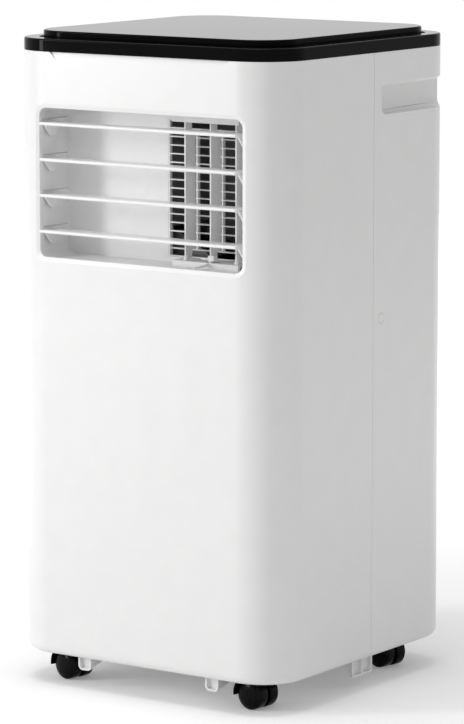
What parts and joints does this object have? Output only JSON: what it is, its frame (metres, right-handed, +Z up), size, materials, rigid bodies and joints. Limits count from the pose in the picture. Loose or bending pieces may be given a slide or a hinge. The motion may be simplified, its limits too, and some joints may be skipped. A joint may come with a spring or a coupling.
{
  "type": "portable air conditioner",
  "caption": "Free-standing room air conditioner: square white cabinet on swivel casters, front louvred outlet, black top, rear intakes and exhaust port.",
  "frame": {"origin": "on the floor under the middle of the cabinet", "axes": "+Z up, front outlet towards -Y, +X to the right of someone facing +Y"},
  "size_m": [0.318, 0.318, 0.64],
  "materials": {
    "shell_white": "satin, lightly glossy moulded shell",
    "duct_white": "satin moulded",
    "black_gloss": "high gloss",
    "black_plastic": "satin moulded",
    "inner_plastic": "plain moulded",
    "fan_plastic": "matte moulded",
    "steel": "zinc plated",
    "coil_fins": "thin fins on copper tube",
    "copper": "drawn copper tube",
    "painted_can": "black baked paint",
    "rubber": "moulded rubber",
    "board": "green lacquered circuit board",
    "capacitor": "drawn can",
    "dark_foam": "dull dark moulding, lined against noise",
    "filter": "nylon mesh in a plastic frame"
  },
  "bodies": {
    "cabinet": {"front_shell": "shell_white", "rear_shell": "shell_white", "top_rim": "black_gloss", "top_plate": "black_gloss", "display_board": "board", "base_pan": "shell_white", "pan_feet": "shell_white", "mid_deck": "inner_plastic", "louvre_frame": "duct_white", "outlet_guard": "duct_white", "vane_rail_lower": "duct_white", "vane_rail_upper": "duct_white", "evaporator_blower_housing": "dark_foam", "evaporator_motor": "steel", "evaporator_coil": "coil_fins", "condenser_blower_housing": "inner_plastic", "condenser_motor": "steel", "condenser_coil": "coil_fins", "compressor": "painted_can", "accumulator": "painted_can", "compressor_grommets": "rubber", "compressor_bolts": "steel", "discharge_pipe": "copper", "suction_pipe": "copper", "capillary_tube": "copper", "control_box": "inner_plastic", "control_board": "board", "run_capacitor": "capacitor", "cord_inlet": "rubber", "exhaust_collar": "duct_white", "rear_grille_lower": "shell_white", "screw_caps": "shell_white", "shell_screws": "steel"},
    "blade_1": {"louvre_blade_1": "duct_white"},
    "blade_2": {"louvre_blade_2": "duct_white"},
    "blade_3": {"louvre_blade_3": "duct_white"},
    "blade_4": {"louvre_blade_4": "duct_white"},
    "blade_link_bar": {"blade_link": "duct_white"},
    "vane_left": {"vane_1": "duct_white"},
    "vane_middle": {"vane_2": "duct_white"},
    "vane_right": {"vane_3": "duct_white"},
    "vane_link_bar": {"vane_link": "duct_white"},
    "evaporator_fan": {"evaporator_blower_wheel": "fan_plastic"},
    "condenser_fan": {"condenser_blower_wheel": "fan_plastic"},
    "intake_panel": {"rear_grille_upper": "shell_white", "filter_screen": "filter"},
    "drain_plug_lower": {"drain_cap_lower": "rubber"},
    "drain_plug_upper": {"drain_cap_upper": "rubber"},
    "swivel_fl": {"caster_hood_fl": "black_plastic"},
    "wheels_fl": {"caster_wheels_fl": "black_plastic"},
    "swivel_fr": {"caster_hood_fr": "black_plastic"},
    "wheels_fr": {"caster_wheels_fr": "black_plastic"},
    "swivel_rl": {"caster_hood_rl": "black_plastic"},
    "wheels_rl": {"caster_wheels_rl": "black_plastic"},
    "swivel_rr": {"caster_hood_rr": "black_plastic"},
    "wheels_rr": {"caster_wheels_rr": "black_plastic"}
  },
  "joints": [
    {"name": "blade_1_tilt", "type": "hinge", "parent": "cabinet", "child": "blade_1", "pos_m": [0, -0.144, 0.4411], "axis": [1, 0, 0], "range_deg": [-25, 25]},
    {"name": "blade_2_tilt", "type": "hinge", "parent": "cabinet", "child": "blade_2", "pos_m": [0, -0.144, 0.4759], "axis": [1, 0, 0], "range_deg": [-25, 25]},
    {"name": "blade_3_tilt", "type": "hinge", "parent": "cabinet", "child": "blade_3", "pos_m": [0, -0.144, 0.5107], "axis": [1, 0, 0], "range_deg": [-25, 25]},
    {"name": "blade_4_tilt", "type": "hinge", "parent": "cabinet", "child": "blade_4", "pos_m": [0, -0.144, 0.5455], "axis": [1, 0, 0], "range_deg": [-25, 25]},
    {"name": "blade_link_swing", "type": "hinge", "parent": "blade_1", "child": "blade_link_bar", "pos_m": [0, -0.134, 0.4411], "axis": [1, 0, 0], "range_deg": [-25, 25]},
    {"name": "vane_middle_swing", "type": "hinge", "parent": "cabinet", "child": "vane_middle", "pos_m": [0.06321, -0.128, 0.5], "axis": [0, 0, 1], "range_deg": [-25, 25]},
    {"name": "vane_left_swing", "type": "hinge", "parent": "cabinet", "child": "vane_left", "pos_m": [0.03381, -0.128, 0.5], "axis": [0, 0, 1], "range_deg": [-25, 25]},
    {"name": "vane_right_swing", "type": "hinge", "parent": "cabinet", "child": "vane_right", "pos_m": [0.09261, -0.128, 0.5], "axis": [0, 0, 1], "range_deg": [-25, 25]},
    {"name": "vane_link_swing", "type": "hinge", "parent": "vane_middle", "child": "vane_link_bar", "pos_m": [0.06321, -0.12, 0.42], "axis": [0, 0, 1], "range_deg": [-25, 25]},
    {"name": "evaporator_fan_spin", "type": "hinge", "parent": "cabinet", "child": "evaporator_fan", "pos_m": [-0.015, -0.068, 0.372], "axis": [0, 1, 0], "continuous": true},
    {"name": "condenser_fan_spin", "type": "hinge", "parent": "cabinet", "child": "condenser_fan", "pos_m": [0.038, 0.044, 0.128], "axis": [0, 1, 0], "continuous": true},
    {"name": "swivel_fl_turn", "type": "hinge", "parent": "cabinet", "child": "swivel_fl", "pos_m": [-0.11, -0.12, 0.04], "axis": [0, 0, 1], "continuous": true},
    {"name": "wheels_fl_roll", "type": "hinge", "parent": "swivel_fl", "child": "wheels_fl", "pos_m": [-0.10804, -0.12038, 0.015], "axis": [0.1908, 0.9816, 0], "continuous": true},
    {"name": "swivel_fr_turn", "type": "hinge", "parent": "cabinet", "child": "swivel_fr", "pos_m": [0.11, -0.12, 0.04], "axis": [0, 0, 1], "continuous": true},
    {"name": "wheels_fr_roll", "type": "hinge", "parent": "swivel_fr", "child": "wheels_fr", "pos_m": [0.11199, -0.12024, 0.015], "axis": [0.1219, 0.9925, 0], "continuous": true},
    {"name": "swivel_rl_turn", "type": "hinge", "parent": "cabinet", "child": "swivel_rl", "pos_m": [-0.116, 0.098, 0.04], "axis": [0, 0, 1], "continuous": true},
    {"name": "wheels_rl_roll", "type": "hinge", "parent": "swivel_rl", "child": "wheels_rl", "pos_m": [-0.11403, 0.09769, 0.015], "axis": [0.1564, 0.9877, 0], "continuous": true},
    {"name": "swivel_rr_turn", "type": "hinge", "parent": "cabinet", "child": "swivel_rr", "pos_m": [0.116, 0.098, 0.04], "axis": [0, 0, 1], "continuous": true},
    {"name": "wheels_rr_roll", "type": "hinge", "parent": "swivel_rr", "child": "wheels_rr", "pos_m": [0.11795, 0.09755, 0.015], "axis": [0.225, 0.9744, 0], "continuous": true},
    {"name": "intake_panel_pull", "type": "slide", "parent": "cabinet", "child": "intake_panel", "axis": [0, 1, 0], "range_m": [0, 0.06]},
    {"name": "drain_plug_lower_pull", "type": "slide", "parent": "cabinet", "child": "drain_plug_lower", "axis": [0, 1, 0], "range_m": [0, 0.02]},
    {"name": "drain_plug_upper_pull", "type": "slide", "parent": "cabinet", "child": "drain_plug_upper", "axis": [0, 1, 0], "range_m": [0, 0.02]}
  ],
  "couplings": [
    {"joint": "blade_2_tilt", "follows": "blade_1_tilt", "ratio": 1},
    {"joint": "blade_3_tilt", "follows": "blade_1_tilt", "ratio": 1},
    {"joint": "blade_4_tilt", "follows": "blade_1_tilt", "ratio": 1},
    {"joint": "blade_link_swing", "follows": "blade_1_tilt", "ratio": -1},
    {"joint": "vane_left_swing", "follows": "vane_middle_swing", "ratio": 1},
    {"joint": "vane_right_swing", "follows": "vane_middle_swing", "ratio": 1},
    {"joint": "vane_link_swing", "follows": "vane_middle_swing", "ratio": -1}
  ]
}
